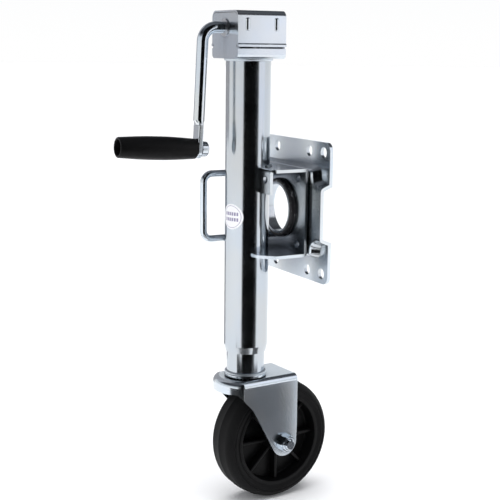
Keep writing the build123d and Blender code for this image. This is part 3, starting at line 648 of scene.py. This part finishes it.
class JACK_OT_hand_grip(bpy.types.Operator):
    """Make the moulded barrel grip of the crank"""
    bl_idname = "jack.hand_grip"
    bl_label = "Hand Grip"

    def execute(self, context):
        sizes = context.scene.jack_grip
        start, end, bore, _ = GRIP_SIZE
        socket_floor = end - sizes.recess_depth
        arc = [self.barrel(start + (end - start) * share, sizes) for share in GRIP_STATIONS]
        socket = [(end, sizes.recess_radius), (socket_floor, sizes.recess_radius), (socket_floor, bore),
                  (start, bore)]
        shape = spun(arc + socket, GRIP_LINE)
        round_rims(shape, GRIP_LINE, arc[1:-1], GRIP_WAIST_ROUNDING, segments=6)
        round_rims(shape, GRIP_LINE, [arc[0], arc[-1], socket[0]], sizes.rounding)
        finish = moulded_plastic("grip_plastic", shine=0.42, grain="grip_grain", depth=0.00012)
        piece("hand_grip_moulding", shape, "grip", finish, ["hand_grip"], smooth_angle=50)
        piece("hand_grip_seam", self.seam(sizes), "grip", finish)
        return {"FINISHED"}

    def barrel(self, along, sizes):
        """A corner of the grip's outline, which swells to its widest in the middle."""
        start, end, _, widest = GRIP_SIZE
        centre = (start + end) / 2
        return along, widest - (widest - sizes.end_radius) * ((along - centre) / (end - centre)) ** 2

    def seam(self, sizes):
        """The thin line that the mould's two halves leave along both sides of the grip."""
        point, axis = GRIP_LINE
        across = axis.cross(UP).normalized()
        stand, width = SEAM_SHARES
        low, high = GRIP_SIZE[0] + 2 * sizes.rounding, GRIP_SIZE[1] - 2 * sizes.rounding
        shapes = []
        for side in (-1, 1):
            shape = bmesh.new()
            bmesh.ops.create_uvsphere(shape, u_segments=8, v_segments=24, radius=sizes.seam_height)
            for vert in shape.verts:
                share = (vert.co.z / sizes.seam_height + 1) / 2
                along, radius = self.barrel(low + (high - low) * share, sizes)
                vert.co = (point + axis * along + across * side * (radius + vert.co.x * stand)
                           + across.cross(axis) * vert.co.y * width)
            bmesh.ops.recalc_face_normals(shape, faces=shape.faces)
            shapes.append(shape)
        return joined(shapes)


class JACK_OT_tyre(bpy.types.Operator):
    """Make the solid rubber tyre"""
    bl_idname = "jack.tyre"
    bl_label = "Tyre"

    def execute(self, context):
        sizes = context.scene.jack_wheel
        half, inner, outer = TYRE_SIZE[1:]
        groove = half - sizes.bead_height
        face, side_top = inner + TYRE_FACE, outer - sizes.shoulder
        foot_in, foot_up = TYRE_FOOT
        half_section = [
            (TYRE_RIDGE, outer), (2 * TYRE_RIDGE, outer - sizes.bead_height / 2),
            (half - sizes.shoulder, outer - sizes.crown),
            (half - TYRE_EDGE[0], side_top), (half, side_top - TYRE_EDGE[1]),
            *((place, face + up) for place, up in zip((half, groove, groove, half), TYRE_GROOVE)),
            (half, face), (half - foot_in, inner + foot_up), (half - foot_in, inner)]
        shape = spun(mirrored(half_section), WHEEL_LINE, steps=160)
        tread_edge, face_edge = half_section[2], half_section[9]
        tread_rounding = sizes.shoulder * TREAD_ROUNDING_SHARE
        round_rims(shape, WHEEL_LINE, mirrored([tread_edge]), tread_rounding, segments=6)
        round_rims(shape, WHEEL_LINE, mirrored([face_edge]), TYRE_FACE_ROUNDING, segments=3)
        piece("tyre_moulding", shape, "wheel", tyre_rubber(), ["wheel_tyre"])
        return {"FINISHED"}


class JACK_OT_wheel_centre(bpy.types.Operator):
    """Make the ribbed plastic centre of the wheel"""
    bl_idname = "jack.wheel_centre"
    bl_label = "Wheel Centre"

    def execute(self, context):
        sizes = context.scene.jack_wheel
        hub_half, bore = WHEEL_SIZE[1:3]
        rim_half, rim = TYRE_SIZE[1] - sizes.rim_step, TYRE_SIZE[2]
        band, hub, web = rim - sizes.rim_wall, sizes.hub_radius, sizes.web / 2
        half_section = [(rim_half, rim), (rim_half, band + CENTRE_SLOPE), (web, band),
                        (web, hub + CENTRE_SLOPE), (hub_half, hub), (hub_half, bore)]
        _, rim_edge, rim_root, hub_root, hub_edge, _ = half_section
        shape = spun(mirrored(half_section), WHEEL_LINE)
        round_rims(shape, WHEEL_LINE, mirrored([rim_edge, hub_edge]), CENTRE_EDGE_ROUNDING, segments=3)
        round_rims(shape, WHEEL_LINE, mirrored([rim_root, hub_root]), CENTRE_ROOT_ROUNDING)
        ribs = self.ribs(sizes, hub, band, rim_half - sizes.rib_setback)
        finish = moulded_plastic("wheel_plastic", shine=0.36, grain="wheel_grain", depth=0.00006)
        piece("wheel_centre_moulding", joined([shape, ribs]), "wheel", finish,
              ["wheel_rim", "wheel_centre", "wheel_ribs"])
        return {"FINISHED"}

    def ribs(self, sizes, inner, outer, reach):
        """Flat blades from hub to rim, rounded along their free edges."""
        point, axis = WHEEL_LINE
        out = axis.orthogonal().normalized()
        upright = Matrix((axis, out, axis.cross(out))).transposed().to_4x4()
        grow = Matrix.Diagonal((2 * reach, outer - inner + RIB_OVERLAP, sizes.rib_width, 1))
        shift = Matrix.Translation((0, (inner + outer) / 2, 0))
        shapes = []
        for i in range(sizes.rib_count):
            turn = Matrix.Rotation(tau * i / sizes.rib_count, 4, axis)
            place = Matrix.Translation(point) @ turn @ upright @ shift @ grow
            shape = bmesh.new()
            bmesh.ops.create_cube(shape, size=1, matrix=place)
            free = [e for e in shape.edges if self.is_free(e, turn.to_3x3() @ out, reach)]
            round_edges(shape, free, RIB_ROUNDING, segments=3)
            shapes.append(shape)
        return joined(shapes)

    def is_free(self, edge, out, reach):
        """Whether an edge runs along the rib on one of its outer faces."""
        run = (edge.verts[1].co - edge.verts[0].co).normalized()
        height, _ = along_and_out(WHEEL_LINE, edge.verts[0].co)
        return abs(run.dot(out)) > PARALLEL and abs(abs(height) - reach) < SAME_PLACE


class JACK_OT_lock_spring(bpy.types.Operator):
    """Make the coiled lock spring, which runs between the guide lip and the handle's stop ring"""
    bl_idname = "jack.lock_spring"
    bl_label = "Lock Spring"

    def execute(self, context):
        sizes = context.scene.jack_spring
        low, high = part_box("lock_spring")
        centre = (low + high) / 2
        start = Vector((centre.x, low.y, centre.z))
        end = Vector((centre.x, high.y, centre.z))
        axis = (end - start).normalized()
        coil = (high.x - low.x) / 2 - sizes.wire
        run = (end - start).length - 2 * sizes.wire
        steps = sizes.turns * sizes.facets
        shape = bmesh.new()
        section = Matrix.Translation(start + axis * sizes.wire + Vector((coil, 0, 0)))
        made = bmesh.ops.create_circle(shape, cap_ends=True, radius=sizes.wire, segments=10, matrix=section)
        bmesh.ops.spin(shape, geom=made["verts"] + shape.edges[:] + shape.faces[:], cent=start, axis=axis,
                       dvec=axis * run / steps, angle=tau * sizes.turns, steps=steps, use_merge=False)
        bmesh.ops.holes_fill(shape, edges=[e for e in shape.edges if e.is_boundary])
        bmesh.ops.recalc_face_normals(shape, faces=shape.faces)
        finish = ground_steel("spring_wire", colours().steel, shine=0.22)
        spring = piece("lock_spring_coil", shape, None, finish, ["lock_spring"],
                       smooth_angle=60)
        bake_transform(spring)
        return {"FINISHED"}


class JACK_OT_weld_beads(bpy.types.Operator):
    """Make the weld beads at the bracket, the gear housing and the foot plate"""
    bl_idname = "jack.weld_beads"
    bl_label = "Weld Beads"

    def execute(self, context):
        sizes = context.scene.jack_welds
        low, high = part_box("swivel_bracket")
        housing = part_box("gear_frame")[0].z
        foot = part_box("inner_tube")[0].z
        gap = {name: share * sizes.width for name, share in BEAD_STANDOFF.items()}
        arcs = {name: [radians(angle) for angle in angles] for name, angles in BRACKET_BEADS.items()}
        seat = TUBE_RADIUS + gap["seat"]
        finish = zinc_plating("weld_zinc", shine=0.34, bump=0.00008)
        beads = [ring_bead(seat, high.z + gap["bracket"], sizes, *arcs["top"]),
                 ring_bead(seat, low.z - gap["bracket"], sizes, *arcs["bottom"]),
                 ring_bead(TUBE_RADIUS, housing - gap["housing"], sizes)]
        piece("tube_welds", joined(beads), "jack", finish, smooth_angle=60)
        bead = ring_bead(LEG_RADIUS + gap["leg"], foot + gap["foot"], sizes)
        piece("foot_weld", bead, "leg", finish, smooth_angle=60)
        return {"FINISHED"}


class JACK_OT_plated_pieces(bpy.types.Operator):
    """Finish the zinc-plated tubes, pressings, rods and fasteners"""
    bl_idname = "jack.plated_pieces"
    bl_label = "Zinc Plated Pieces"

    def execute(self, context):
        along_tube, along_rod = (1, 1, 0.02), (1, 1, 0.1)
        tubes = zinc_plating("tube_zinc", along_tube, shine=0.15, bump=0.000004, tone=0.8)
        # The pressings carry painted shade: their base colour darkens in tight corners.
        pressings = zinc_plating("pressed_zinc_painted_shade", shine=0.2, bump=0.000006, shade=0.85)
        rods = zinc_plating("rod_zinc", along_rod, shine=0.13, bump=0.000004)
        dress(tubes, "outer_tube", "inner_tube")
        dress(pressings, "mounting_plate", "swivel_bracket", "gear_frame", "gear_cover", "castor_yoke",
              "king_pin", "bearing_plate")
        dress(rods, "crank_arm", "lock_handle", "grip_spindle", "lock_collar", "shaft_clip", "axle_bolt",
              "axle_nut", "axle_washer", "king_nut", "grease_plug")
        return {"FINISHED"}


class JACK_OT_bare_pieces(bpy.types.Operator):
    """Finish the gears, screw, balls, spring, bushes and blackened rings"""
    bl_idname = "jack.bare_pieces"
    bl_label = "Steel And Bronze Pieces"

    def execute(self, context):
        dress(ground_steel("ground_steel", colours().steel), "lift_screw", "crank_pinion", "screw_gear",
              "pinion_pin", "gear_pin", "thrust_races", "thrust_balls", "castor_balls")
        dress(ground_steel("oiled_bronze", colours().bronze, shine=0.35), "lift_nut", "wheel_bush",
              "gear_washer")
        dress(ground_steel("bushing_steel", colours().steel, shine=0.3), "crank_bushings")
        dress(black_oxide(), "hub_retainer", "hub_washer", "swivel_washer")
        return {"FINISHED"}


class JACK_OT_label(bpy.types.Operator):
    """Finish the round label on the tube"""
    bl_idname = "jack.label"
    bl_label = "Label"

    def execute(self, context):
        dress(label_film(), "round_label")
        return {"FINISHED"}


class JACK_OT_studio(bpy.types.Operator):
    """Make the floor, the soft lights, the reflected boards and the camera"""
    bl_idname = "jack.studio"
    bl_label = "Studio"

    def execute(self, context):
        self.floor(context)
        self.sky(context)
        self.lights(context)
        self.boards()
        self.camera(context)
        context.scene.view_settings.view_transform = "Standard"
        return {"FINISHED"}

    def floor(self, context):
        shape = bmesh.new()
        ground = Matrix.Translation((0, 0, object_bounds()[0][2]))
        bmesh.ops.create_circle(shape, cap_ends=True, segments=96, radius=FLOOR_RADIUS, matrix=ground)
        finish = Finish("studio_floor", Roughness=0.9, Specular_IOR_Level=0.1)
        finish.set("Base Color", tuple(context.scene.jack_studio.floor_colour))
        self.put("studio_floor", shape, finish.material)

    def put(self, name, shape, material):
        mesh = bpy.data.meshes.new(name)
        shape.to_mesh(mesh)
        shape.free()
        mesh.materials.append(material)
        made = bpy.data.objects.new(name, mesh)
        bpy.context.scene.collection.objects.link(made)
        made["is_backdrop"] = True
        return made

    def sky(self, context):
        """A pale surround that darkens overhead."""
        world = bpy.data.worlds.new("studio_sky")
        context.scene.world = world
        world.use_nodes = True
        nodes, links = world.node_tree.nodes, world.node_tree.links
        direction = nodes.new("ShaderNodeTexCoord")
        split = nodes.new("ShaderNodeSeparateXYZ")
        ramp = nodes.new("ShaderNodeValToRGB")
        links.new(direction.outputs["Generated"], split.inputs[0])
        links.new(split.outputs["Z"], ramp.inputs[0])
        links.new(ramp.outputs[0], nodes["Background"].inputs["Color"])
        set_stops(ramp.color_ramp, SKY_STOPS)
        nodes["Background"].inputs["Strength"].default_value = 1.0

    def lights(self, context):
        """One broad light overhead and two soft boxes, which shiny surfaces do not reflect."""
        for name, kind, place, power in LAMPS:
            light = bpy.data.lights.new(name, kind)
            light.energy = power
            if kind == "SUN":
                light.angle = SUN_SPREAD
            else:
                light.shape = "DISK"
                light.size = BOX_SIZE
            made = bpy.data.objects.new(name, light)
            made.location = place
            made.rotation_euler = (TUBE_LINE[0] - Vector(place)).to_track_quat("-Z", "Y").to_euler()
            made.visible_glossy = False
            context.scene.collection.objects.link(made)

    def boards(self):
        """Boards that only show as reflections, each at a compass heading from the tube."""
        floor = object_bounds()[0][2]
        for name, heading, half_width, reach, low, high, level in BOARDS:
            low = floor if low is None else low
            shape = bmesh.new()
            turn = radians(heading)
            width = 2 * reach * tan(radians(half_width))
            centre = TUBE_LINE[0] + Vector((sin(turn), -cos(turn), 0)) * reach + UP * (low + high) / 2
            upright = Matrix.Rotation(turn, 4, "Z") @ Matrix.Rotation(pi / 2, 4, "X")
            place = Matrix.Translation(centre) @ upright @ Matrix.Diagonal((width, high - low, 1, 1))
            bmesh.ops.create_grid(shape, x_segments=1, y_segments=1, size=0.5, matrix=place)
            finish = Finish(name, Roughness=1.0, Specular_IOR_Level=0.0, Emission_Strength=1.0)
            finish.set("Base Color", (0, 0, 0, 1))
            finish.set("Emission Color", (level, level, level * BOARD_BLUE, 1))
            board = self.put(name, shape, finish.material)
            board.visible_camera = False
            board.visible_diffuse = False
            board.visible_shadow = False
            board.visible_transmission = False

    def camera(self, context):
        sizes = context.scene.jack_studio
        heading, tilt, roll = sizes.camera_heading, sizes.camera_tilt, sizes.camera_roll
        forward = Vector((-sin(heading) * cos(tilt), cos(heading) * cos(tilt), -sin(tilt)))
        level = Vector((cos(heading), sin(heading), 0))
        above = level.cross(forward)
        right = level * cos(roll) + above * sin(roll)
        up = above * cos(roll) - level * sin(roll)
        lens = bpy.data.cameras.new("camera")
        lens.lens = sizes.focal_length
        lens.sensor_width = sizes.sensor_width
        lens.shift_x, lens.shift_y = sizes.shift
        made = bpy.data.objects.new("camera", lens)
        turn = Matrix((right, up, -forward)).transposed().to_4x4()
        made.matrix_world = Matrix.Translation(sizes.camera_place) @ turn
        context.scene.collection.objects.link(made)
        context.scene.camera = made


class JACK_PT_panel(bpy.types.Panel):
    """The jack's pieces, sizes and colours in the sidebar"""
    bl_idname = "JACK_PT_panel"
    bl_label = "Trailer Tongue Jack"
    bl_space_type = "VIEW_3D"
    bl_region_type = "UI"
    bl_category = "Jack"

    def draw(self, context):
        for operator in OPERATORS:
            self.layout.operator(operator.bl_idname)
        for name in GROUPS:
            group = getattr(context.scene, name)
            for key in group.bl_rna.properties.keys():
                if key not in ("rna_type", "name"):
                    self.layout.prop(group, key)


OPERATORS = (JACK_OT_hand_grip, JACK_OT_tyre, JACK_OT_wheel_centre, JACK_OT_lock_spring, JACK_OT_weld_beads,
             JACK_OT_plated_pieces, JACK_OT_bare_pieces, JACK_OT_label, JACK_OT_studio)
GROUPS = {"jack_grip": GripSizes, "jack_wheel": WheelSizes, "jack_spring": SpringSizes,
          "jack_welds": WeldSizes, "jack_finishes": JackFinishes, "jack_studio": StudioSizes}


def register():
    for group in GROUPS.values():
        bpy.utils.register_class(group)
    for operator in OPERATORS:
        bpy.utils.register_class(operator)
    bpy.utils.register_class(JACK_PT_panel)
    for name, group in GROUPS.items():
        setattr(bpy.types.Scene, name, PointerProperty(type=group))


def unregister():
    for name in GROUPS:
        delattr(bpy.types.Scene, name)
    bpy.utils.unregister_class(JACK_PT_panel)
    for operator in reversed(OPERATORS):
        bpy.utils.unregister_class(operator)
    for group in GROUPS.values():
        bpy.utils.unregister_class(group)


def main():
    register()
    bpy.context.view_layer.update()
    for operator in OPERATORS:
        group, name = operator.bl_idname.split(".")
        getattr(getattr(bpy.ops, group), name)()


if __name__ == "__main__":
    main()
